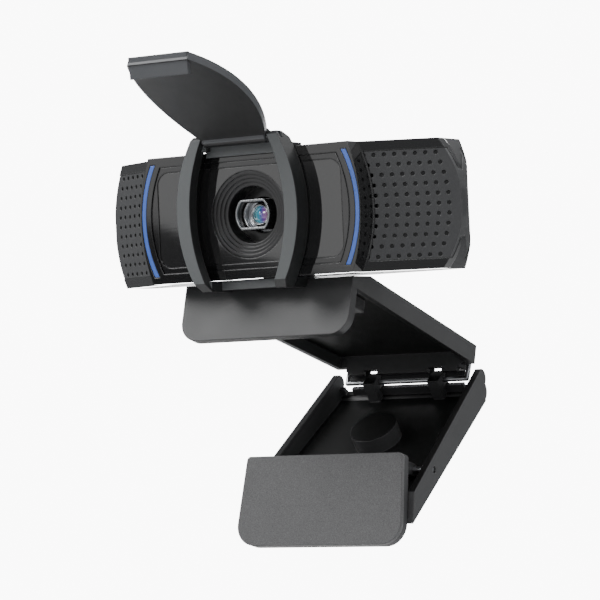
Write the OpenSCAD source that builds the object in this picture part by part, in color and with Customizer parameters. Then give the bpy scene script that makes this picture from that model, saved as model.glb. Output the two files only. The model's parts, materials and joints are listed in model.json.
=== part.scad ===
// Monitor-top webcam with a flip-up privacy shutter and a folding monitor clip.
// Millimetres, +Z up, the lens looks along -Y, +X is to the right of the lens.
// The origin is where the clip sits on a monitor: the middle of the seat pad's underside.

/* [Head] */
// Overall width of the camera head
head_w = 94; // [88:1:100]
// Overall height of the camera head
head_h = 29; // [28:0.5:31]
// How far the raised middle section stands out to each side
face_half_w = 29.3; // [28.8:0.1:29.6]
// How much the ends of the raised section bow out
face_bow = 2.6; // [2:0.1:3]
// Height of the gloss rails above and below the grilles
rail_h = 2.3; // [2:0.1:2.6]
// Wall thickness of the housings
wall = 1.5; // [1.2:0.1:1.8]

/* [Grilles] */
// Distance between holes
hole_pitch = 2.3; // [2.2:0.05:2.4]
// Diameter of each hole
hole_d = 0.95; // [0.7:0.05:1.2]
// Rows of holes
hole_rows = 11; // [9:1:11]
// Columns of holes
hole_cols = 8; // [6:1:8]

/* [Lens] */
// Radius of the outermost ring around the lens
ring_r = 9.9; // [9.5:0.1:10.2]
// Number of steps in the ring cone
ring_steps = 4; // [3:1:5]
// Radius of the front glass
glass_r = 1.7; // [1.4:0.1:1.9]

/* [Shutter] */
// Length of the flap from its hinge to its tip
flap_len = 34; // [33.6:0.1:34.4]
// How far the flap stands open, from hanging closed
flap_open = 118; // [100:1:125]
// Thickness of the flap
flap_t = 1.9; // [1.6:0.1:2]

/* [Clip] */
// Slope of the upper clip plate, down to the rear
clip_pitch = 17; // [16:0.5:18]
// Half width of the upper clip at its lip
clip_half_front = 22.4; // [22:0.1:22.8]
// Half width of the upper clip at its hinge
clip_half_rear = 19.2; // [19:0.1:19.5]
// How far the lip hangs below the clip's edges
lip_drop = 11.1; // [10:0.1:12]
// Slope of the leg, forward and down
leg_pitch = 35; // [34:0.5:36]
// Distance from the leg's hinge to its lower end
leg_len = 52; // [50:1:53]
// Lean of the foot, its bottom forward
foot_pitch = 14; // [13:0.5:15]

/* [Hidden] */

$fn = 96;
fine = 32;
eps = 0.01;
far = 60;

// ---- places shared by several pieces ----
seat_y = 15;
lip_y = 5.5;
lip_z = -17.2;
head_pos = [0, -lip_y - seat_y * cos(clip_pitch), -lip_z + seat_y * sin(clip_pitch)];
tilt_yz = [14, -12];
tilt_pin_r = 1.5;
pin_a = [65.5, 0.9];
wire_r = 0.6;
wire_half = 16.7;
wire_stub = 4;
link = [-1.6, -3.8];
bore_gap = 0.06;
flap_axis = [-4.5, 17];
flap_pin_r = 0.7;
foot_axis = [35, 2.4];
edge = 1.75;
foot_pin_r = 0.8;

// ---- head outline, seen from above: half of it, mirrored ----
face_y = -1;
grille_x = 28.8;
grille_y = 4.2;
ridge = [46.8, 13.4];
end_out = [head_w / 2, 16.3];
face_slope = atan2(ridge[1] - grille_y, ridge[0] - grille_x);
root_x = 24;
half_plan = [[root_x, grille_y - (grille_x - root_x) * tan(face_slope)], ridge, end_out, [45.6, 19.2],
    [42.6, 21.3], [36, 22.6], [18, 23]];
plan = concat([for (i = [len(half_plan) - 1:-1:0]) [-half_plan[i][0], half_plan[i][1]]], half_plan);
front_skin = 3;
inner_h = head_h / 2 - rail_h;
grille_t = 1.2;
end_bow = 4.4;
end_round = 3;
guide_w = 1;
guide_bow = 2.9;
guide_half_w = face_half_w - 0.3;

// Every vertex moved inward by d, for an outline that runs counter-clockwise.
function normal_in(a, b) = let (v = (b - a) / norm(b - a)) [-v[1], v[0]];
function inset(pts, d) = [for (i = [0:len(pts) - 1])
    let (n = len(pts), a = pts[(i + n - 1) % n], b = pts[i], c = pts[(i + 1) % n],
        n1 = normal_in(a, b), n2 = normal_in(b, c))
    b + d * (n1 + n2) / (1 + n1 * n2)];
// Radius of an arc from its half chord and its rise.
function arc_r(half_chord, rise) = (half_chord * half_chord + rise * rise) / (2 * rise);

module at_head() translate(head_pos) children();
module at_clip() rotate([-clip_pitch, 0, 0]) translate([0, -seat_y, 0]) children();
module at_leg() at_clip() translate([0, pin_a[0], pin_a[1]]) rotate([clip_pitch, 0, 0])
    translate([0, link[0], link[1]]) rotate([180 + leg_pitch, 0, 0]) children();
module at_foot() at_leg() translate([0, foot_axis[0], foot_axis[1] - edge])
    rotate([180 - leg_pitch - foot_pitch, 0, 0]) children();
module both() {
    children();
    mirror([1, 0, 0]) children();
}
// A cylinder along X, centred.
module rod(r, len) rotate([0, 90, 0]) cylinder(r = r, h = len, center = true);
// A box centred in X only.
module block(w, y0, y1, z0, z1) translate([-w / 2, y0, z0]) cube([w, y1 - y0, z1 - z0]);
// Stand a flat outline up so that it faces -Y, from depth y0 back to y1.
module upright(y0, y1) translate([0, y1, 0]) rotate([90, 0, 0]) linear_extrude(y1 - y0) children();

// A strip whose two sides bow outward: half width at mid height, half height, rise of the bow.
module bowed(half_w, half_h, rise) {
    r = arc_r(half_h, rise);
    intersection() {
        square([2 * half_w, 2 * half_h], center = true);
        translate([half_w - r, 0]) circle(r, $fn = 180);
        translate([r - half_w, 0]) circle(r, $fn = 180);
    }
}
// The same outline for a bow too deep for that: a rectangle with an arc added at each end.
module bowed_ends(half_w, half_h, rise) {
    r = arc_r(half_h, rise);
    square([2 * (half_w - rise), 2 * half_h], center = true);
    for (x = [-1, 1]) intersection() {
        translate([x * (half_w - r), 0]) circle(r, $fn = 180);
        translate([x * (half_w - rise), 0]) square([2 * rise, 2 * half_h], center = true);
    }
}
module rounded(w, h, r) {
    square([w, h - 2 * r], center = true);
    square([w - 2 * r, h], center = true);
    for (x = [-1, 1], y = [-1, 1]) translate([x * (w / 2 - r), y * (h / 2 - r)]) circle(r, $fn = fine);
}
// The head's solid envelope, shrunk by d: a body with slanted shoulders and a raised middle.
module head_solid(d) intersection() {
    union() {
        translate([0, 0, d - head_h / 2]) linear_extrude(head_h - 2 * d) polygon(inset(plan, d));
        upright(face_y + d, 12) bowed(face_half_w - d, head_h / 2 - d, face_bow);
    }
    upright(-far, far) intersection() {
        bowed_ends(head_w / 2 - d, head_h / 2 - d, end_bow);
        rounded(head_w - 2 * d, head_h - 2 * d, end_round);
    }
}

// ---- head: housings ----
grommet_z = -4;
grommet_r = 3.2;
slot_half_w = 7.3;
slot_reach = 5.4;
screw_places = [[-37, 17.5], [37, 17.5]];
seam_y = 15;
side_t = 1.2;
module rear_housing() color("#1c1d1f") at_head() difference() {
    intersection() {
        head_solid(0);
        union() {
            translate([0, front_skin + 0.02, 0]) {
                linear_extrude(far, center = true) polygon(plan);
                upright(face_y, 12) bowed(face_half_w - side_t - 0.04, head_h / 2, face_bow);
            }
            block(2 * far, seam_y + 0.02, far, -far, far);
        }
    }
    difference() {
        head_solid(wall);
        for (p = screw_places) translate([p[0], p[1], -far / 2]) cylinder(r = 2, h = far);
    }
    translate([0, 18, grommet_z]) rotate([-90, 0, 0]) cylinder(r = grommet_r + 0.02, h = 10);
    block(2 * slot_half_w, tilt_yz[0] - slot_reach, tilt_yz[0] + slot_reach, -head_h,
        wall + eps - head_h / 2);
    translate([0, tilt_yz[0], tilt_yz[1]]) rod(tilt_pin_r + 0.1, 2 * (bracket_x + bracket_t) + 1);
    for (p = screw_places) translate([p[0], p[1], -head_h / 2 - eps]) {
        cylinder(r = 0.9, h = 9);
        cylinder(r = 1.7, h = 1.3);
    }
    both() grille_blank(0.02, 1);
}
window_half_w = guide_half_w - guide_w - 0.3;
pane_w = 49;
pane_h = 21.8;
pane_round = 3;
module front_frame() color("#0c0c0e") at_head() difference() {
    head_solid(0);
    translate([0, front_skin, 0]) {
        linear_extrude(far, center = true) polygon(plan);
        upright(face_y, 20) bowed(face_half_w - side_t, far / 4, face_bow * pow(far / 2 / head_h, 2));
    }
    block(2 * far, seam_y, far, -far, far);
    upright(-far, far) bowed(window_half_w, inner_h, guide_bow);
    both() grille_blank(0.02, 1);
    both() guide_blank(0.08);
}
module face_panel() color("#08080a") at_head() difference() {
    upright(face_y + 0.15, face_y + 1.8) bowed(window_half_w - 0.03, inner_h - 0.03, guide_bow);
    upright(-far, far) rounded(pane_w, pane_h, pane_round);
}
module lens_window() color("#222225") at_head() difference() {
    upright(face_y + 0.3, face_y + 1.8) rounded(pane_w - 0.06, pane_h - 0.06, pane_round - 0.03);
    rotate([90, 0, 0]) cylinder(r = ring_r + 0.02, h = far, center = true);
}
// The carrier behind the face: a plate with four posts that the board is screwed to.
module inner_chassis() color("#141416") at_head() difference() {
    union() {
        upright(face_y + 1.85, face_y + 2.9) rounded(48, 2 * inner_h - 0.6, pane_round);
        both() for (z = board_screw_z) translate([board_screw_x, face_y + 2, z]) rotate([-90, 0, 0])
            cylinder(r = 2, h = board_y - face_y - 2.01);
    }
    rotate([90, 0, 0]) cylinder(r = ring_r + 0.05, h = far, center = true);
    both() for (z = board_screw_z) translate([board_screw_x, 6, z]) rotate([-90, 0, 0])
        cylinder(r = 0.87, h = far);
}
// The blue strip stands in a slot at each side of the raised section.
module guide_blank(gap) intersection() {
    upright(face_y - eps, face_y + 2.4) difference() {
        bowed(guide_half_w + gap, inner_h + 0.6 + gap, guide_bow);
        bowed_ends(guide_half_w - guide_w - gap, inner_h + 3, guide_bow * pow(1 + 3 / inner_h, 2));
    }
    translate([0, -far, -far / 2]) cube([far, 2 * far, far]);
}
module guide_solid() intersection() {
    guide_blank(0);
    head_solid(0.05);
}
module light_guide_right() color("#5578c8") at_head() guide_solid();
module light_guide_left() color("#5578c8") at_head() mirror([1, 0, 0]) guide_solid();

// ---- grilles: perforated covers on the slanted shoulders, returned round the ends ----
grille_back = 19.4;
// The cover's shape with a gap all round it, and standing out by proud to serve as a cutter.
module grille_blank(gap, proud) intersection() {
    difference() {
        head_solid(0.1 - proud);
        linear_extrude(far, center = true) polygon(inset(plan, grille_t + gap));
        upright(-far, far) bowed(face_half_w + 0.3 - gap, far / 4, face_bow * pow(far / 2 / head_h, 2));
    }
    translate([0, -far, -inner_h - gap]) cube([far, far + grille_back + gap, 2 * (inner_h + gap)]);
}
first_hole = 1.4;
hole_margin = 0.9;
row_pitch = 2 * (inner_h - hole_margin) / (hole_rows - 1);
module grille_holes() translate([grille_x, grille_y, 0]) rotate([0, 0, face_slope]) rotate([90, 0, 0])
    linear_extrude(6, center = true)
        for (c = [0:hole_cols - 1], r = [0:hole_rows - 1]) {
            z = (r - (hole_rows - 1) / 2) * row_pitch;
            translate([first_hole + c * hole_pitch - guide_bow * pow(z / inner_h, 2), z])
                circle(d = hole_d, $fn = 16);
        }
module grille_solid() difference() {
    grille_blank(0, 0);
    grille_holes();
}
module grille_right() color("#2a2b2d") at_head() grille_solid();
module grille_left() color("#2a2b2d") at_head() mirror([1, 0, 0]) grille_solid();

// ---- lens and electronics ----
cone_depth = 1.6;
shroud_r = 6.5;
shroud_back = 6.4;
rim_r = 4.6;
rim_flat = 3.4;
rim_t = 0.5;
rim_y = 0.6;
rim_back = 1.1;
ring_step = (ring_r - shroud_r) / ring_steps;
lens_y = 4.5;
barrel_r = 3.85;
// Turned about the lens axis: outlines give radius and depth behind the face.
module turned(pts) rotate([90, 0, 0]) mirror([0, 0, 1]) rotate_extrude() polygon(pts);
module d_cut(r, flat) intersection() {
    circle(r);
    square([4 * r, 2 * flat], center = true);
}
module rim_tube(y0, y1) upright(y0, y1) difference() {
    d_cut(rim_r, rim_flat);
    d_cut(rim_r - rim_t, rim_flat - rim_t);
}
// Stepped surround, and the flat-sided hood that stands in its middle.
module lens_cone() color("#17181a") at_head() {
    turned(concat([[ring_r, face_y + 0.3]],
        [for (i = [0:ring_steps - 1], e = [0, 1])
            [ring_r - (i + e) * ring_step, face_y + 0.3 + (i + 0.4) * cone_depth / ring_steps]],
        [[shroud_r, shroud_back - 1], [rim_r - rim_t, shroud_back - 1], [rim_r - rim_t, shroud_back],
            [ring_r, shroud_back]]));
    rim_tube(rim_back, shroud_back);
}
module lens_rim() color("#b9bbbd") at_head() rim_tube(rim_y, rim_back - 0.01);
// Stepped barrel: its front has the hood's flat sides, its rear is round and screws into the focus housing.
module lens_barrel() color("#c8cacc") at_head() difference() {
    turned([[glass_r + 0.02, lens_y - 0.2], [glass_r + 0.45, lens_y - 0.9], [2.7, lens_y - 0.3],
        [2.8, lens_y + 0.3], [3.2, lens_y + 0.3], [3.4, 2.8], [barrel_r, 2.8], [barrel_r, 9], [2.2, 9],
        [2.2, lens_y + 1.4], [glass_r + 0.02, lens_y + 1.4]]);
    upright(0, shroud_back + 0.02) difference() {
        square(far, center = true);
        square([far, 2 * (rim_flat - rim_t - 0.05)], center = true);
    }
}
module front_lens() color("#3a78a0") at_head() intersection() {
    turned([[0, lens_y - 1.2], [glass_r, lens_y - 1.2], [glass_r, lens_y + 1.2], [0, lens_y + 1.2]]);
    translate([0, lens_y + 2, 0]) sphere(r = 2.7);
}
module inner_lens() color("#9ab0c0") at_head() turned([[0, 6.6], [2.18, 6.6], [2.18, 8.2], [0, 8.2]]);
module focus_housing() color("#151515") at_head() difference() {
    block(12, 6.45, 11, -6, 6);
    rotate([90, 0, 0]) cylinder(r = 4.24, h = 18.1, center = true);
    block(8, 9.1, 12, -4, 4);
}
module infrared_filter() color("#b06060") at_head() block(6, 9.3, 9.7, -3, 3);
module image_sensor() color("#3a3a44") at_head() block(7, 9.9, 11, -3.5, 3.5);
board_y = 11.1;
board_t = 1.2;
board_screw_x = 22;
board_screw_z = [-5, 8];
module main_board() color("#1e5a32") at_head() difference() {
    block(56, board_y, board_y + board_t, -8, 11);
    both() for (z = board_screw_z) translate([board_screw_x, 0, z]) rotate([90, 0, 0])
        cylinder(r = 0.9, h = far, center = true);
}
module shield_can() color("#a9abae") at_head() difference() {
    block(18, board_y + board_t, board_y + board_t + 2.6, -7, 9);
    block(17.4, board_y + board_t - eps, board_y + board_t + 2.3, -6.7, 8.7);
}
module processor_chip() color("#202022") at_head()
    block(9, board_y + board_t, board_y + board_t + 1.1, -4, 5);
module memory_chip() color("#202022") at_head() translate([15, 0, 0])
    block(5, board_y + board_t, board_y + board_t + 0.9, 0, 6);
module board_screws() color("#8a8c90") at_head() both() for (z = board_screw_z)
    translate([board_screw_x, 0, z]) rotate([90, 0, 0]) translate([0, 0, -board_y - board_t - 1]) {
        cylinder(r = 1.6, h = 1);
        cylinder(r = 0.85, h = 5);
    }
module cable_connector() color("#d8d4c8") at_head() translate([-16, 0, 0])
    block(8, board_y + board_t, board_y + board_t + 3.4, -5, 0);
mic_x = 34.5;
mic_y = grille_y + (mic_x - grille_x) * tan(face_slope) + 5.7;
module microphone() translate([mic_x, mic_y, 0]) rotate([0, 0, face_slope]) rotate([90, 0, 0])
    cylinder(r = 2, h = 1.4);
module microphone_boot() translate([mic_x, mic_y, 0]) rotate([0, 0, face_slope]) rotate([90, 0, 0])
    difference() {
        translate([0, 0, -0.8]) cylinder(r = 3.2, h = 3);
        translate([0, 0, -eps]) cylinder(r = 2.02, h = 4);
    }
module microphone_right() color("#c8b070") at_head() microphone();
module microphone_left() color("#c8b070") at_head() mirror([1, 0, 0]) microphone();
module microphone_boot_right() color("#101010") at_head() microphone_boot();
module microphone_boot_left() color("#101010") at_head() mirror([1, 0, 0]) microphone_boot();
module status_leds() color("#f0f0e8") at_head() both() translate([26, 0, 0])
    block(2, board_y - 1, board_y, -1, 1);
cable_r = 1.9;
module cable_grommet() color("#0a0a0a") at_head() translate([0, 0, grommet_z]) rotate([-90, 0, 0])
    difference() {
        union() {
            translate([0, 0, 17.6]) cylinder(r = grommet_r, h = 5.4);
            translate([0, 0, 17.6]) cylinder(r = grommet_r + 1, h = 3.8);
        }
        cylinder(r = cable_r, h = far);
    }
module housing_screws() color("#55565a") at_head() for (p = screw_places)
    translate([p[0], p[1], -head_h / 2 + 0.1]) {
        cylinder(r = 1.65, h = 1.18);
        cylinder(r = 0.85, h = 8);
    }

// ---- tilt joint ----
bracket_x = 7.4;
bracket_t = 2;
module tilt_bracket() color("#8d8f93") at_head() difference() {
    both() translate([bracket_x + bracket_t / 2, tilt_yz[0], 0]) {
        intersection() {
            translate([0, 0, tilt_yz[1]]) rod(2.9, bracket_t);
            block(bracket_t, -far, far, wall - head_h / 2, far);
        }
        block(bracket_t, -2.9, 2.9, wall - head_h / 2, tilt_yz[1]);
    }
    translate([0, tilt_yz[0], tilt_yz[1]]) rod(tilt_pin_r + 0.02, far);
}
module tilt_pin() color("#b0b2b5") at_head() translate([0, tilt_yz[0], tilt_yz[1]])
    rod(tilt_pin_r, 2 * (bracket_x + bracket_t) + 0.6);
module friction_washers() color("#d0d0d0") at_head() both()
    translate([bracket_x - 0.45, tilt_yz[0], tilt_yz[1]]) difference() {
        rod(2.4, 0.6);
        rod(tilt_pin_r + 0.05, 2);
    }
// The tilt axis, measured in the clip's own frame.
tilt_rel = [tilt_yz[0] - lip_y, tilt_yz[1] - lip_z];
tilt_clip = [tilt_rel[0] * cos(clip_pitch) - tilt_rel[1] * sin(clip_pitch),
    tilt_rel[0] * sin(clip_pitch) + tilt_rel[1] * cos(clip_pitch)];
plate_top = 4.6;
plate_t = 1.7;
neck_w = 12.8;
neck_screw_x = 4;
module neck_post() color("#1a1b1d") at_clip() difference() {
    union() {
        translate([0, tilt_clip[0], tilt_clip[1]]) rod(2.8, neck_w);
        block(neck_w, tilt_clip[0] - 2.2, tilt_clip[0] + 2.8, plate_top, tilt_clip[1]);
    }
    translate([0, tilt_clip[0], tilt_clip[1]]) rod(tilt_pin_r + bore_gap, far);
    for (x = [-1, 1]) translate([x * neck_screw_x, tilt_clip[0] + 0.3, plate_top - eps])
        cylinder(r = 0.7, h = 1.2);
}
module neck_screws() color("#55565a") at_clip() for (x = [-1, 1])
    translate([x * neck_screw_x, tilt_clip[0] + 0.3, plate_top - plate_t]) {
        translate([0, 0, -0.7]) cylinder(r = 1.5, h = 0.7);
        cylinder(r = 0.65, h = 2.7);
    }

// ---- privacy shutter ----
arm_z0 = -17;
arm_z1 = 17.9;
arm_front = -6;
arm_w = 3.4;
arm_out = 16;
arm_bow = 4.9;
inner_bow = 4.2;
arm_gap = 3;
arm_mid = (arm_z0 + arm_z1) / 2;
arm_half_h = (arm_z1 - arm_z0) / 2;
hook_x = 9.9;
hook_w = 2.4;
hook_back = 5;
bar_w = 20;
// Both arms' outline, seen from the front: width w and the bow of the inner edge.
module arm_shape(w, bow_in) translate([0, arm_mid]) difference() {
    bowed(arm_out, arm_half_h, arm_bow);
    bowed(arm_out - w, arm_half_h + eps, bow_in);
}
// Side view of an arm with its hooks over and under the head.
module arm_side() polygon([[arm_front, arm_z0 + 1.8], [arm_front, arm_z1 - 0.7], [arm_front + 0.7, arm_z1],
    [flap_axis[0] + 1.3, arm_z1], [flap_axis[0] + 4.9, 15.6], [hook_back, 15.5], [hook_back, arm_z0 + 0.8],
    [hook_back - 0.8, arm_z0], [arm_front + 1.8, arm_z0]]);
module shutter_frame() color("#3b3c3f") at_head() difference() {
    intersection() {
        union() {
            upright(arm_front, arm_front + arm_gap) arm_shape(arm_w, inner_bow);
            upright(arm_front + 2, face_y - 0.1) arm_shape(1.5, arm_bow);
            // bars over and under the head, and hooks that hold its edges
            block(bar_w, face_y - 1.1, face_y + 6, head_h / 2 + 0.15, head_h / 2 + 1.4);
            block(bar_w, face_y - 1.1, face_y - 0.1, head_h / 2 - 1.2, head_h / 2 + 1.4);
            block(bar_w, face_y + 1.3, face_y + 4, arm_z0 + 0.3, -head_h / 2 - 0.15);
            both() translate([hook_x, 0, 0]) {
                block(hook_w, arm_front + 2, hook_back, head_h / 2 + 0.15, arm_z1);
                block(hook_w, arm_front + 2, hook_back, arm_z0, -head_h / 2 - 0.15);
            }
        }
        along_x(far) arm_side();
    }
    translate([0, flap_axis[0], flap_axis[1]]) rod(flap_pin_r + 0.02, 25);
    // room for the flap's knuckle and for the flap to swing
    translate([0, flap_axis[0], flap_axis[1]]) rod(2.3, 2 * knuckle_half + 0.6);
}
module shutter_pin() color("#a8aaad") at_head() translate([0, flap_axis[0], flap_axis[1]])
    rod(flap_pin_r, 2 * (hook_x + hook_w / 2) - 0.2);
knuckle_half = 8.2;
flap_half_mid = 12.2;
flap_half_tip = 7.6;
flap_rise = 1.4;
lip_len = 3.7;
lip_angle = 56;
// The flap hangs from its hinge along -Z when closed; its outline bows like the arms.
module flap_outline() {
    mid = -flap_len * 0.5;
    r = arc_r(flap_len * 0.52, 4.7);
    intersection() {
        translate([-far / 2, -flap_len]) square([far, flap_len - 1]);
        translate([flap_half_mid - r, mid]) circle(r, $fn = 180);
        translate([r - flap_half_mid, mid]) circle(r, $fn = 180);
    }
}
module flap_profile() {
    r = arc_r(flap_len / 2, flap_rise);
    difference() {
        translate([r - flap_rise - flap_t / 2, -flap_len / 2]) circle(r, $fn = 180);
        translate([r - flap_rise + flap_t / 2, -flap_len / 2]) circle(r - 0.02, $fn = 180);
    }
}
module shutter_flap() color("#4a4c50") at_head() translate([0, flap_axis[0], flap_axis[1]])
    rotate([-flap_open, 0, 0]) difference() {
        union() {
            intersection() {
                rotate([90, 0, 90]) linear_extrude(far, center = true) flap_profile();
                upright(-far, far) flap_outline();
            }
            rod(1.6, 2 * knuckle_half);
            block(2 * knuckle_half, -1.2, 0.4, -1.6, 0);
            translate([0, 0.3, -flap_len]) rotate([90 - lip_angle, 0, 0])
                block(2 * flap_half_tip, -1.2, lip_len, 0, 1.1);
        }
        rod(flap_pin_r + bore_gap, far);
    }

// ---- upper clip ----
plate_len = 63.8;
flange_t = 1.5;
lip_t = 2.3;
lip_round = 4.6;
lug_x = 14;
lug_w = 3.6;
lug_r = 1.9;
apron_half = 15.2;
apron_drop = 1.9;
apron_notch = 0.8;
module taper(y0, half0, y1, half1) polygon([[-half0, y0], [half0, y0], [half1, y1], [-half1, y1]]);
function clip_half(y) = clip_half_front + (clip_half_rear - clip_half_front) * y / plate_len;
module upper_clip() color("#46474a") difference() {
    at_clip() {
        difference() {
            linear_extrude(plate_top) taper(0, clip_half(0), plate_len, clip_half(plate_len));
            translate([0, 0, -eps]) linear_extrude(plate_top - plate_t + eps)
                taper(lip_t, clip_half(lip_t) - flange_t, plate_len - flange_t,
                    clip_half(plate_len - flange_t) - flange_t);
        }
        upright(0, lip_t) {
            translate([-clip_half_front, lip_round - lip_drop])
                square([2 * clip_half_front, lip_drop - lip_round + eps]);
            translate([lip_round - clip_half_front, -lip_drop])
                square([2 * (clip_half_front - lip_round), lip_round + eps]);
            for (x = [-1, 1]) translate([x * (clip_half_front - lip_round), lip_round - lip_drop])
                circle(lip_round);
        }
        both() translate([lug_x, pin_a[0], pin_a[1]]) {
            rod(lug_r, lug_w);
            block(lug_w, plate_len - eps - pin_a[0] - flange_t, 0, -lug_r, lug_r);
        }
        // the rear wall reaches lower between the leg's knuckles
        difference() {
            block(2 * apron_half, plate_len - flange_t, plate_len - 0.1, -apron_drop, eps);
            both() translate([leg_knuckle_x, 0, 0]) block(knuckle_w + 1, 0, far * 2, -far, -apron_notch);
        }
    }
    at_clip() {
        translate([0, pin_a[0], pin_a[1]]) rod(wire_r + bore_gap, 2 * lug_x + lug_w + 2);
        for (x = [-1, 1]) translate([x * neck_screw_x, tilt_clip[0] + 0.3, 0]) cylinder(r = 0.7, h = 10);
    }
    // the front corner is cut away beneath the level head
    at_head() block(far, -far / 2, tilt_yz[0] + 9, -head_h / 2 - 0.6, 0);
}
module lip_pad() color("#141414") at_clip() translate([0, 0, -lip_drop / 2 - 0.4])
    upright(lip_t + 0.01, lip_t + 1.01) rounded(34, 8.4, 2);
module seat_pad() color("#141414") at_clip()
    block(28, seat_y - 5, seat_y + 5, 0, plate_top - plate_t - 0.01);

// ---- wire link, leg and foot ----
link_len = norm(link);
module hinge_wire() color("#c0c2c4") at_clip() translate([0, pin_a[0], pin_a[1]])
    rotate([clip_pitch, 0, 0]) {
        both() translate([wire_half - wire_stub / 2, 0, 0]) rod(wire_r, wire_stub);
        both() translate([wire_half, 0, 0]) {
            sphere(wire_r);
            rotate([90 + atan2(-link[1], -link[0]), 0, 0]) cylinder(r = wire_r, h = link_len);
            translate([0, link[0], link[1]]) sphere(wire_r);
        }
        translate([0, link[0], link[1]]) rod(wire_r, 2 * wire_half);
    }
// A cover plate on the wire link, between its arms, open round the lugs and the knuckles.
cover_t = 0.7;
cover_gap = 0.25;
knuckle_r = 2.2;
knuckle_reach = 3.2;
module hinge_cover() color("#151516") at_clip() translate([0, pin_a[0], pin_a[1]])
    rotate([clip_pitch, 0, 0]) rotate([90 + atan2(-link[1], -link[0]), 0, 0]) difference() {
        block(2 * (wire_half - wire_r - 0.1), -cover_t / 2, cover_t / 2, 0, link_len);
        both() translate([lug_x, 0, 0]) rod(lug_r + cover_gap, lug_w + 2 * cover_gap);
        both() translate([leg_knuckle_x, 0, 0])
            block(knuckle_w + 2 * cover_gap, -far, far, link_len - knuckle_reach, far);
        translate([0, 0, link_len]) rod(wire_r + 0.02, far);
    }
leg_half_top = 20.8;
leg_half_end = 23.4;
leg_wall = 1.7;
leg_floor = 1.6;
leg_h_top = 7.2;
leg_h_end = 4.9;
leg_knuckle_x = 9;
knuckle_w = 3;
knuckle_down = 3;
leg_top_t = 1.1;
top_wall_y = -0.2;
round_clear = 0.05;
insert_y = 20;
insert_r = 4.2;
thread_r = 2.55;
function leg_half(y) = leg_half_top + (leg_half_end - leg_half_top) * y / leg_len;
function leg_h(y) = leg_h_top + (leg_h_end - leg_h_top) * y / leg_len;
insert_len = 4.3;
insert_sunk = 0.25;
insert_cap = 1.2;
insert_boss = 1.6;
insert_seat = leg_h(insert_y) - edge - insert_sunk - insert_len;
// Side view of the leg: y runs down the leg from its hinge, z from its open side to its back.
module leg_side(back) {
    polygon([[0, -edge], [leg_len + 8, -edge], [leg_len + 8, leg_h(leg_len + 8) - edge - back],
        [2, leg_h(2) - edge - back], [0, knuckle_r]]);
    // the cavity clears the hinge's round fully, so that no skin is left on it
    circle(knuckle_r + (back > 0 ? round_clear : 0));
    translate([2, 2.4 - back]) circle(2.6, $fn = fine);
}
module along_x(half) rotate([90, 0, 90]) linear_extrude(2 * half, center = true) children();
module leg_blank(inner) intersection() {
    translate([0, 0, -far / 2]) linear_extrude(far)
        taper(-4, leg_half(-4) - inner, leg_len + 8, leg_half(leg_len + 8) - inner);
    along_x(far) leg_side(inner > 0 ? leg_floor : 0);
}
foot_front = -12.6;
foot_top = 1.6;
foot_bottom = -19.7;
foot_half = 21.1;
foot_half_low = 22.1;
foot_t = 1.8;
pad_t = 1.2;
foot_round = 5;
module leg() color("#46474a") difference() {
    at_leg() leg_blank(0);
    at_leg() difference() {
        translate([0, 0, -eps]) leg_blank(leg_wall);
        both() translate([leg_knuckle_x, 0, 0]) block(knuckle_w, -5, knuckle_down, -edge, far);
        block(far, top_wall_y, top_wall_y + leg_top_t, 1.1, far);
        translate([0, insert_y, insert_seat - insert_cap]) cylinder(r = insert_r + insert_boss, h = far);
    }
    at_leg() block(far, -6, far, -far, -edge);
    at_leg() {
        rod(wire_r + bore_gap, 2 * wire_half);
        both() translate([wire_half, 0, 0]) block(2.2, -5, 1.4, -4, 2.7);
        translate([0, foot_axis[0], foot_axis[1] - edge]) rod(foot_pin_r + 0.02, far);
        translate([0, insert_y, insert_seat - 0.02]) cylinder(r = insert_r + 0.02, h = far);
    }
    // the flanges and the floor end behind the foot
    at_foot() block(far, -far, foot_front + pad_t + foot_t + 0.4, -far, far);
}
module tripod_insert() color("#c8a858") at_leg() translate([0, insert_y, insert_seat])
    difference() {
        cylinder(r = insert_r, h = insert_len);
        translate([0, 0, -1]) cylinder(r = thread_r, h = insert_len + 2);
    }
module foot_pin() color("#b0b2b5") at_leg() translate([0, foot_axis[0], foot_axis[1] - edge])
    rod(foot_pin_r, 2 * leg_half(foot_axis[0]) - 0.8);
ear_x = 16;
ear_w = 2.4;
ear_r = 1.5;
// The foot's outline: a little wider at its rounded bottom.
module foot_face() hull() for (x = [-1, 1]) {
    translate([x * (foot_half_low - foot_round), foot_bottom + foot_round]) circle(foot_round, $fn = 64);
    translate([x * (foot_half - 1), foot_top - 1]) circle(1, $fn = 24);
}
module foot() color("#46474a") at_foot() difference() {
    union() {
        upright(foot_front + pad_t + 0.01, foot_front + pad_t + foot_t) foot_face();
        both() translate([ear_x, 0, 0]) {
            rod(ear_r, ear_w);
            block(ear_w, foot_front + pad_t + 1, 0, -ear_r, ear_r);
        }
    }
    rod(foot_pin_r + bore_gap, far);
}
module foot_pad() color("#6a6b6c") at_foot()
    upright(foot_front, foot_front + pad_t) foot_face();

rear_housing();
front_frame();
face_panel();
lens_window();
light_guide_left();
light_guide_right();
grille_left();
grille_right();
lens_cone();
lens_rim();
lens_barrel();
front_lens();
inner_lens();
focus_housing();
infrared_filter();
image_sensor();
main_board();
inner_chassis();
shield_can();
processor_chip();
memory_chip();
board_screws();
microphone_left();
microphone_right();
microphone_boot_left();
microphone_boot_right();
status_leds();
cable_connector();
cable_grommet();
housing_screws();
tilt_bracket();
tilt_pin();
friction_washers();
shutter_frame();
shutter_flap();
shutter_pin();
upper_clip();
neck_post();
neck_screws();
lip_pad();
seat_pad();
hinge_wire();
hinge_cover();
leg();
tripod_insert();
foot_pin();
foot();
foot_pad();
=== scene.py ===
import json
import math

import bpy
from mathutils import Matrix, Vector


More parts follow.
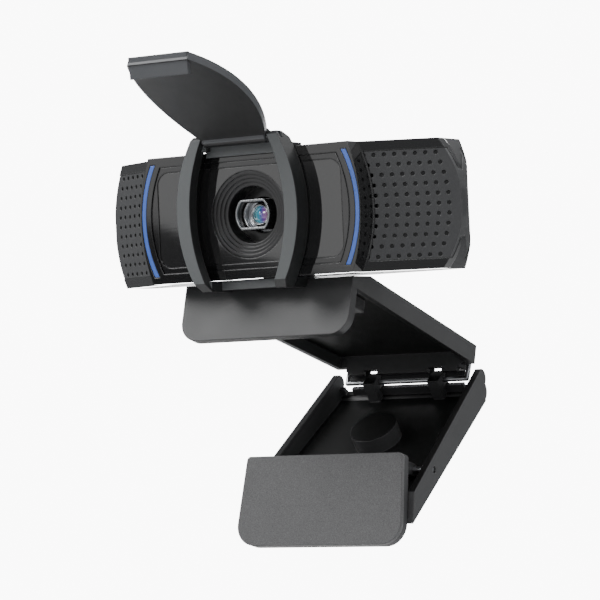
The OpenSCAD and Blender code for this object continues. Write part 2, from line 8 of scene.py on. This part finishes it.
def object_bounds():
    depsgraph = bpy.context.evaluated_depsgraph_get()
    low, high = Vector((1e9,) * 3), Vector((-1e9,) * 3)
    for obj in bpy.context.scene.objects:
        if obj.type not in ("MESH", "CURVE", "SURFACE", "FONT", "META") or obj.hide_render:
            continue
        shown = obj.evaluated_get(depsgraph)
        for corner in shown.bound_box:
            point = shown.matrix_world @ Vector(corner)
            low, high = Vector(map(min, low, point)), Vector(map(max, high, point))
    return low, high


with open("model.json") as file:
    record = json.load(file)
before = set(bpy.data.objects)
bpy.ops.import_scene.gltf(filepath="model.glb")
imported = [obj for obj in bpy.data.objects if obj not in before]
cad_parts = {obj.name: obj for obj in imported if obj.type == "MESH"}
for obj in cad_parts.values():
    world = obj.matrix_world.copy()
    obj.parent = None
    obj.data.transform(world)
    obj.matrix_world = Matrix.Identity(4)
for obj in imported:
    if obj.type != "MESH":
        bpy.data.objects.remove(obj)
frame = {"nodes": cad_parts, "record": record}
cad_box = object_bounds()
nodes = frame["nodes"]
MM = 0.001
CLIP_PITCH = math.radians(17)
LEG_PITCH = math.radians(35)
FLAP_LEAN = math.radians(28)

# ---------------------------------------------------------------- places and directions
LENS_AXIS = Vector((0, -19.8446, 21.5856)) * MM  # where the lens axis meets the head's front datum


# ---------------------------------------------------------------- materials
class Nodes:
    """A material with a Principled shader and short helpers for the nodes that feed it."""

    edge_radius = 0.35 * MM

    def __init__(self, name, **shader):
        self.material = bpy.data.materials.new(name)
        self.material.use_nodes = True
        self.tree = self.material.node_tree
        self.shader = self.tree.nodes["Principled BSDF"]
        for socket, value in shader.items():
            self.shader.inputs[socket.replace("_", " ")].default_value = value
        self.place = self.tree.nodes.new("ShaderNodeTexCoord").outputs["Object"]

    def link(self, source, target):
        self.tree.links.new(source, target)
        return self

    def add(self, kind, **settings):
        made = self.tree.nodes.new(kind)
        for key, value in settings.items():
            setattr(made, key, value)
        return made

    def noise(self, scale, detail=3.0, rough=0.55, stretch=None):
        made = self.add("ShaderNodeTexNoise")
        made.inputs["Scale"].default_value = scale
        made.inputs["Detail"].default_value = detail
        made.inputs["Roughness"].default_value = rough
        source = self.place
        if stretch:
            mapping = self.add("ShaderNodeMapping")
            mapping.inputs["Scale"].default_value = stretch
            self.link(self.place, mapping.inputs["Vector"])
            source = mapping.outputs["Vector"]
        self.link(source, made.inputs["Vector"])
        return made.outputs["Fac"]

    def ramp(self, value, stops):
        made = self.add("ShaderNodeValToRGB")
        elements = made.color_ramp.elements
        while len(elements) < len(stops):
            elements.new(0.5)
        for element, (at, colour) in zip(elements, stops):
            element.position = at
            element.color = (*colour, 1.0) if isinstance(colour, tuple) else (colour,) * 3 + (1.0,)
        self.link(value, made.inputs["Fac"])
        return made.outputs["Color"]

    def mix(self, value, first, second):
        made = self.add("ShaderNodeMix", data_type="RGBA")
        self.link(value, made.inputs[0])
        for socket, source in ((made.inputs[6], first), (made.inputs[7], second)):
            if isinstance(source, tuple):
                socket.default_value = (*source, 1.0)
            else:
                self.link(source, socket)
        return made.outputs[2]

    def facing(self, direction):
        """1 on faces that look along the direction in the piece's own frame, 0 elsewhere."""
        made = self.add("ShaderNodeVectorMath", operation="DOT_PRODUCT")
        made.inputs[1].default_value = direction
        self.link(self.tree.nodes.new("ShaderNodeTexCoord").outputs["Normal"], made.inputs[0])
        return self.ramp(made.outputs["Value"], [(0.80, 0.0), (0.88, 1.0)])

    def colour(self, source):
        return self.link(source, self.shader.inputs["Base Color"])

    def roughness(self, value, low, high):
        made = self.add("ShaderNodeMapRange")
        made.inputs["To Min"].default_value = low
        made.inputs["To Max"].default_value = high
        self.link(value, made.inputs["Value"])
        return self.link(made.outputs["Result"], self.shader.inputs["Roughness"])

    def bump(self, *layers):
        """Each layer is (height, strength, distance in metres); the edges are rounded beneath them."""
        rounding = self.add("ShaderNodeBevel", samples=6)
        rounding.inputs["Radius"].default_value = self.edge_radius
        normal = rounding.outputs["Normal"]
        for height, strength, distance in layers:
            made = self.add("ShaderNodeBump")
            made.inputs["Strength"].default_value = strength
            made.inputs["Distance"].default_value = distance
            self.link(height, made.inputs["Height"])
            self.link(normal, made.inputs["Normal"])
            normal = made.outputs["Normal"]
        return self.link(normal, self.shader.inputs["Normal"])

    def worn_edges(self, base, worn, amount=0.35):
        """Edges a little paler where they are handled."""
        geometry = self.add("ShaderNodeNewGeometry")
        edge = self.ramp(geometry.outputs["Pointiness"], [(0.52, 0.0), (0.60, amount)])
        return self.mix(edge, base, worn)


def scaled(colour, factor):
    return tuple(c * factor for c in colour)


def moulded(name, colour, rough, grain, grain_depth, coat=0.0, spread=0.18, edge=1.6, inside=None,
            inside_painted_shade=0.06, front=None):
    """Moulded plastic: faint blotches, a fine spark-eroded grain and handled edges.
    Faces that look along the inside direction get painted shade: their colour is darkened to near-black,
    standing in for the shadow in the piece's hollows and undersides. Where a front direction is given, the
    faces that look elsewhere get painted shade, darkened to a sixth of the colour that the faces looking
    along it keep."""
    n = Nodes(name, IOR=1.5, Coat_Weight=coat, Coat_Roughness=0.12)
    blotch = n.noise(55, 4)
    body = n.mix(blotch, scaled(colour, 1 - spread), scaled(colour, 1 + spread))
    body = n.worn_edges(body, scaled(colour, edge))
    # painted shade: faces that don't look along the front direction are darkened to a sixth
    if front:
        body = n.mix(n.facing(front), scaled(colour, 0.16), body)
    # painted shade: faces that look along the inside direction are darkened to near-black, standing in for
    # their shadow
    if inside:
        body = n.mix(n.facing(inside), body, scaled(colour, inside_painted_shade))
    n.colour(body)
    n.roughness(n.noise(140, 5), rough - 0.06, rough + 0.07)
    n.bump((n.noise(grain, 2, 0.6), 0.35, grain_depth), (n.noise(90, 2), 0.05, 0.0002))
    return n.material


def polished(name, colour, rough, coat=0.6):
    """Polished plastic: wipe marks in the gloss, hairline scratches and a little settled dust."""
    n = Nodes(name, IOR=1.5, Coat_Weight=coat, Coat_Roughness=0.04)
    dust = n.ramp(n.noise(2600, 2, 0.7), [(0.70, 0.0), (0.78, 0.22)])
    n.colour(n.mix(dust, colour, (0.16, 0.16, 0.17)))
    n.roughness(n.noise(70, 6, stretch=(1, 1, 2.4)), rough, rough + 0.035)
    n.bump((n.noise(420, 3, stretch=(0.3, 1, 6)), 0.03, 0.00004))
    return n.material


def soft_touch(name, colour, rough):
    """Rubber or soft-touch paint: dense fine speckle and a dry sheen."""
    n = Nodes(name, IOR=1.45, Sheen_Weight=0.25, Sheen_Roughness=0.5)
    speck = n.ramp(n.noise(5200, 2, 0.7), [(0.38, 0.0), (0.66, 1.0)])
    n.colour(n.mix(speck, scaled(colour, 0.72), scaled(colour, 1.4)))
    n.roughness(n.noise(300, 4), rough - 0.05, rough + 0.08)
    n.bump((n.noise(3800, 3, 0.7), 0.5, 0.00006), (n.noise(120, 2), 0.06, 0.0002))
    return n.material


def metal(name, colour, rough, stretch=(1, 1, 1), depth=0.00002):
    """Bare metal with drawing or turning marks along one direction."""
    n = Nodes(name, Metallic=1.0)
    streak = n.noise(900, 4, 0.6, stretch)
    n.colour(n.mix(n.noise(160, 4), scaled(colour, 0.82), colour))
    n.roughness(streak, rough - 0.06, rough + 0.12)
    n.bump((streak, 0.25, depth))
    return n.material


def turned_metal(name, colour, rough):
    """Metal turned on a lathe: rings round the lens axis."""
    n = Nodes(name, Metallic=1.0)
    mapping = n.add("ShaderNodeMapping")
    mapping.inputs["Location"].default_value = (-LENS_AXIS.x, -LENS_AXIS.y, -LENS_AXIS.z)
    n.link(n.place, mapping.inputs["Vector"])
    rings = n.add("ShaderNodeTexWave", wave_type="RINGS", rings_direction="Y")
    rings.inputs["Scale"].default_value = 900
    rings.inputs["Distortion"].default_value = 0.4
    n.link(mapping.outputs["Vector"], rings.inputs["Vector"])
    n.colour(n.mix(n.noise(300, 3), scaled(colour, 0.8), colour))
    n.roughness(rings.outputs["Fac"], rough - 0.05, rough + 0.1)
    n.bump((rings.outputs["Fac"], 0.35, 0.00003))
    return n.material


def coated_lens(name):
    """Front glass with its anti-reflection coating: the coating's reflection is painted into the glass's
    colour across it, teal at one side, blue, then violet, and made to glow.
    """
    n = Nodes(name, Roughness=0.04, IOR=1.7, Coat_Weight=1.0, Coat_Roughness=0.02)
    n.shader.inputs["Specular IOR Level"].default_value = 0.8
    split = n.add("ShaderNodeSeparateXYZ")
    n.link(n.place, split.inputs[0])
    across = n.add("ShaderNodeMapRange")
    across.inputs["From Min"].default_value = LENS_AXIS.x - 1.7 * MM
    across.inputs["From Max"].default_value = LENS_AXIS.x + 1.7 * MM
    n.link(split.outputs["X"], across.inputs["Value"])
    # painted reflection: the coating's reflected colours laid across the glass from side to side
    coating_painted_reflection = n.ramp(across.outputs["Result"], [
        (0.0, (0.02, 0.20, 0.22)), (0.34, (0.05, 0.42, 0.55)), (0.55, (0.03, 0.10, 0.42)),
        (0.74, (0.28, 0.10, 0.42)), (1.0, (0.30, 0.12, 0.20))])
    n.colour(n.mix(n.noise(900, 3), coating_painted_reflection, (0.01, 0.03, 0.09)))
    # painted reflection: the coating colours also glow as emission, though the lens is no lamp
    n.link(coating_painted_reflection, n.shader.inputs["Emission Color"])
    n.shader.inputs["Emission Strength"].default_value = 0.35
    return n.material


def light_guide(name):
    """The blue strip: tinted acrylic, its blue a little brighter and darker in soft clouds."""
    n = Nodes(name, IOR=1.49, Coat_Weight=0.5, Coat_Roughness=0.1)
    cloud = n.noise(260, 3)
    blue = n.mix(cloud, (0.040, 0.100, 0.40), (0.060, 0.138, 0.50))
    n.colour(blue)
    n.link(blue, n.shader.inputs["Emission Color"])
    n.shader.inputs["Emission Strength"].default_value = 0.08
    n.roughness(n.noise(500, 3), 0.25, 0.38)
    n.bump((n.noise(1500, 2), 0.08, 0.00003))
    return n.material


def circuit_board(name):
    n = Nodes(name, IOR=1.5, Coat_Weight=0.4, Coat_Roughness=0.15)
    tracks = n.add("ShaderNodeTexBrick")
    tracks.inputs["Scale"].default_value = 420
    tracks.inputs["Color1"].default_value = (0.012, 0.09, 0.035, 1)
    tracks.inputs["Color2"].default_value = (0.015, 0.11, 0.045, 1)
    tracks.inputs["Mortar"].default_value = (0.03, 0.17, 0.07, 1)
    n.link(n.place, tracks.inputs["Vector"])
    n.colour(tracks.outputs["Color"])
    n.roughness(n.noise(300, 3), 0.25, 0.4)
    n.bump((tracks.outputs["Fac"], 0.2, 0.00003))
    return n.material


def coloured_plastic(name, colour, rough):
    n = Nodes(name, IOR=1.5)
    n.colour(n.mix(n.noise(400, 4), scaled(colour, 0.85), colour))
    n.roughness(n.noise(500, 3), rough - 0.05, rough + 0.08)
    n.bump((n.noise(1800, 2), 0.12, 0.00003))
    return n.material


materials = {
    "housing": moulded("matte_housing", (0.020, 0.0205, 0.022), 0.46, 2600, 0.00004),
    "gloss_trim": polished("gloss_black", (0.0065, 0.0065, 0.007), 0.05),
    "smoked_pane": polished("smoked_pane", (0.012, 0.012, 0.0125), 0.02, coat=1.0),
    "lens_surround": moulded("lens_surround", (0.016, 0.016, 0.017), 0.30, 3000, 0.00002, coat=0.2),
    "grille": moulded("grille_plastic", (0.034, 0.0345, 0.036), 0.36, 3000, 0.00003, coat=0.15),
    # painted shade on the shutter's side and rear faces; only its front faces keep the plain grey
    "shutter": moulded("shutter_plastic_painted_shade_sides", (0.074, 0.079, 0.081), 0.42, 3200, 0.00003, front=(0, -1, 0)),
    # painted shade on the flap's inner face, the side that looks down and forward past the lean
    "flap": moulded("flap_plastic_painted_shade", (0.060, 0.063, 0.068), 0.40, 3200, 0.00003,
                    inside=(0, -math.sin(FLAP_LEAN), -math.cos(FLAP_LEAN)), inside_painted_shade=0.14),
    "clip_body": moulded("clip_plastic", (0.043, 0.0435, 0.045), 0.43, 2800, 0.00004),
    # painted shade: a darker copy of the clip plastic for the upper clip under the head, near-black on its
    # underside
    "clip_upper": moulded("clip_upper_painted_shade_plastic", (0.036, 0.0365, 0.0375), 0.43, 2800, 0.00004,
                          inside=(0, -math.sin(CLIP_PITCH), -math.cos(CLIP_PITCH))),
    # painted shade inside the leg's channel, on the faces that look into it
    "clip_leg": moulded("clip_leg_painted_shade_plastic", (0.043, 0.0435, 0.045), 0.43, 2800, 0.00004,
                        inside=(0, -math.sin(LEG_PITCH), math.cos(LEG_PITCH))),
    "foot_rubber": soft_touch("foot_soft_touch", (0.086, 0.086, 0.088), 0.62),
    "rubber": soft_touch("black_rubber", (0.014, 0.014, 0.015), 0.68),
    "blue_guide": light_guide("blue_light_guide"),
    "silver": turned_metal("turned_silver", (0.72, 0.73, 0.75), 0.24),
    "dark_silver": turned_metal("rim_silver", (0.36, 0.37, 0.38), 0.28),
    "steel": metal("drawn_steel", (0.52, 0.53, 0.55), 0.26, stretch=(0.05, 1, 1)),
    "brass": metal("machined_brass", (0.72, 0.52, 0.22), 0.3),
    "lens_glass": coated_lens("coated_glass_painted_reflection"),
    "filter_glass": coloured_plastic("filter_glass", (0.30, 0.06, 0.08), 0.12),
    "board": circuit_board("circuit_board"),
    "chip": coloured_plastic("chip_epoxy", (0.02, 0.02, 0.022), 0.5),
    "washer": coloured_plastic("washer_plastic", (0.6, 0.6, 0.57), 0.45),
    "led": coloured_plastic("led_lens", (0.75, 0.77, 0.8), 0.2),
    "connector": coloured_plastic("connector_plastic", (0.62, 0.58, 0.48), 0.4),
}
slot_of = {part["node"]: part["material_slot"] for part in frame["record"]["subparts"]}


def dress(obj, slot):
    obj.data.materials.clear()
    obj.data.materials.append(materials[slot])


# ---------------------------------------------------------------- surfaces of the CAD pieces
def shade_by_angle(limit):
    """A modifier group that shades smoothly across edges flatter than the limit."""
    group = bpy.data.node_groups.new("shade_by_angle", "GeometryNodeTree")
    group.interface.new_socket("Geometry", in_out="INPUT", socket_type="NodeSocketGeometry")
    group.interface.new_socket("Geometry", in_out="OUTPUT", socket_type="NodeSocketGeometry")
    start = group.nodes.new("NodeGroupInput")
    end = group.nodes.new("NodeGroupOutput")
    faces = group.nodes.new("GeometryNodeSetShadeSmooth")
    edges = group.nodes.new("GeometryNodeSetShadeSmooth")
    edges.domain = "EDGE"
    edges.inputs["Shade Smooth"].default_value = False
    angle = group.nodes.new("GeometryNodeInputMeshEdgeAngle")
    steep = group.nodes.new("FunctionNodeCompare")
    steep.inputs["B"].default_value = math.radians(limit)
    link = group.links.new
    link(start.outputs[0], faces.inputs["Geometry"])
    link(faces.outputs[0], edges.inputs["Geometry"])
    link(angle.outputs["Unsigned Angle"], steep.inputs["A"])
    link(steep.outputs["Result"], edges.inputs["Selection"])
    link(edges.outputs[0], end.inputs[0])
    return group


SHADE = shade_by_angle(28)


def surface(obj, bevel_mm=0.0):
    """Weld the imported facets, round the hard edges where asked, and shade flats flat."""
    weld = obj.modifiers.new("weld", "WELD")
    weld.merge_threshold = 0.003 * MM
    if bevel_mm:
        bevel = obj.modifiers.new("edges", "BEVEL")
        bevel.width = bevel_mm * MM
        bevel.segments = 3
        bevel.limit_method = "ANGLE"
        bevel.angle_limit = math.radians(35)
        bevel.use_clamp_overlap = True
    shade = obj.modifiers.new("shade", "NODES")
    shade.node_group = SHADE
    weighted = obj.modifiers.new("weighted", "WEIGHTED_NORMAL")
    weighted.keep_sharp = True
    weighted.weight = 80


EDGE_MM = {"foot_pad": 0.6, "lip_pad": 0.3, "seat_pad": 0.5, "cable_grommet": 0.4, "neck_post": 0.4}
FINISH = {"upper_clip": "clip_upper", "leg": "clip_leg", "shutter_flap": "flap", "lens_rim": "dark_silver"}
for name, obj in nodes.items():
    dress(obj, FINISH.get(name, slot_of[name]))
    surface(obj, EDGE_MM.get(name, 0.0))

# ---------------------------------------------------------------- stage: floor, backdrop, lights, camera
CAMERA_AZIMUTH = math.radians(31.79)
CAMERA_ELEVATION = math.radians(-1.4)
CAMERA_ROLL = math.radians(2.6)
CAMERA_DISTANCE = 0.700
FOCAL_PIXELS = 4.441 * 700
IMAGE_WIDTH = 600
AIM_RIGHT = 0.01108
AIM_UP = -0.01929

forward = Vector((-math.sin(CAMERA_AZIMUTH) * math.cos(CAMERA_ELEVATION),
                  math.cos(CAMERA_AZIMUTH) * math.cos(CAMERA_ELEVATION), -math.sin(CAMERA_ELEVATION)))
level_right = Vector((math.cos(CAMERA_AZIMUTH), math.sin(CAMERA_AZIMUTH), 0))
level_up = level_right.cross(forward)
right = math.cos(CAMERA_ROLL) * level_right - math.sin(CAMERA_ROLL) * level_up
up = math.sin(CAMERA_ROLL) * level_right + math.cos(CAMERA_ROLL) * level_up
camera_data = bpy.data.cameras.new("camera")
camera = bpy.data.objects.new("camera", camera_data)
bpy.context.scene.collection.objects.link(camera)
camera_data.sensor_width = 36
camera_data.lens = FOCAL_PIXELS / IMAGE_WIDTH * camera_data.sensor_width
camera_data.clip_start = 0.05
camera_data.clip_end = 20
aim = LENS_AXIS + right * AIM_RIGHT + up * AIM_UP
camera.matrix_world = Matrix.Translation(aim - forward * CAMERA_DISTANCE) @ Matrix((
    (*right, 0), (*up, 0), (*-forward, 0), (0, 0, 0, 1))).to_3x3().transposed().to_4x4()
bpy.context.scene.camera = camera


def stage_mesh(name, vertices, faces, colour, glow=0.0):
    mesh = bpy.data.meshes.new(name)
    mesh.from_pydata(vertices, [], faces)
    obj = bpy.data.objects.new(name, mesh)
    bpy.context.scene.collection.objects.link(obj)
    n = Nodes(name + "_paint", Roughness=0.9)
    n.colour(n.mix(n.noise(3, 2), scaled(colour, 0.98), colour))
    if glow:
        n.shader.inputs["Emission Color"].default_value = (1, 1, 1, 1)
        n.shader.inputs["Emission Strength"].default_value = glow
    mesh.materials.append(n.material)
    return obj


FLOOR_DROP = 0.35
BACKDROP_DISTANCE = 1.3
BACKDROP_HALF = 0.55
BACKDROP_GLOW = 9.0
FLOOR_Z = cad_box[0][2] - FLOOR_DROP
stage_mesh("floor", [(-8, -8, FLOOR_Z), (8, -8, FLOOR_Z), (8, 8, FLOOR_Z), (-8, 8, FLOOR_Z)],
           [(0, 1, 2, 3)], (0.8, 0.8, 0.8), glow=0.12)
back_centre = aim + forward * BACKDROP_DISTANCE
backdrop = stage_mesh("backdrop", [tuple(back_centre + (right * x + up * z) * BACKDROP_HALF)
                        for x, z in ((-1, -1), (1, -1), (1, 1), (-1, 1))], [(0, 1, 2, 3)], (1, 1, 1),
                      glow=BACKDROP_GLOW)
# the bright backdrop is only a background: it doesn't light the object's back
backdrop.visible_diffuse = False


def area_light(name, azimuth, elevation, distance, size, power, roll=0.0, from_edge=False):
    """A soft rectangular light; from_edge puts its lower edge, not its middle, at the stated angles."""
    data = bpy.data.lights.new(name, "AREA")
    data.shape = "RECTANGLE"
    data.size, data.size_y = size
    data.energy = power
    light = bpy.data.objects.new(name, data)
    bpy.context.scene.collection.objects.link(light)
    a, e = math.radians(azimuth), math.radians(elevation)
    away = Vector((math.sin(a) * math.cos(e), -math.cos(a) * math.cos(e), math.sin(e)))
    light.location = LENS_AXIS + away * distance
    light.rotation_mode = "QUATERNION"
    light.rotation_quaternion = away.to_track_quat("Z", "Y") @ Matrix.Rotation(roll, 3, "Z").to_quaternion()
    if from_edge:
        light.location += light.rotation_quaternion @ Vector((0, size[1] / 2, 0))
    return light


area_light("key_left", -52, 38, 0.8, (0.5, 0.5), 6.0)
area_light("sweep", -31.8, 1.5, 1.0, (0.62, 0.34), 0.8, roll=math.radians(-19), from_edge=True)
area_light("grille_glow", 12, 24, 0.9, (0.28, 0.18), 1.6)
area_light("fill_right", 70, 10, 1.1, (0.4, 0.9), 2.2)
area_light("top", 20, 80, 0.9, (0.7, 0.35), 4.0)
area_light("rim_back", 140, 40, 1.0, (0.5, 0.5), 2.5)

STUDIO_PALE = 0.38
STUDIO_DARK = 0.09
world = bpy.data.worlds.new("studio")
bpy.context.scene.world = world
world.use_nodes = True
tree = world.node_tree
direction = tree.nodes.new("ShaderNodeTexCoord").outputs["Generated"]
towards = tree.nodes.new("ShaderNodeVectorMath")
towards.operation = "DOT_PRODUCT"
towards.inputs[1].default_value = (-math.sin(CAMERA_AZIMUTH), -math.cos(CAMERA_AZIMUTH), 0.03)
tree.links.new(direction, towards.inputs[0])
# the studio is dark where the gloss panel mirrors it
studio = tree.nodes.new("ShaderNodeMapRange")
studio.interpolation_type = "SMOOTHSTEP"
studio.inputs["From Min"].default_value = 0.72
studio.inputs["From Max"].default_value = 0.95
studio.inputs["To Min"].default_value = STUDIO_PALE
studio.inputs["To Max"].default_value = STUDIO_DARK
tree.links.new(towards.outputs["Value"], studio.inputs["Value"])
world.node_tree.nodes["Background"].inputs["Color"].default_value = (0.96, 0.98, 1.0, 1)
tree.links.new(studio.outputs["Result"], tree.nodes["Background"].inputs["Strength"])
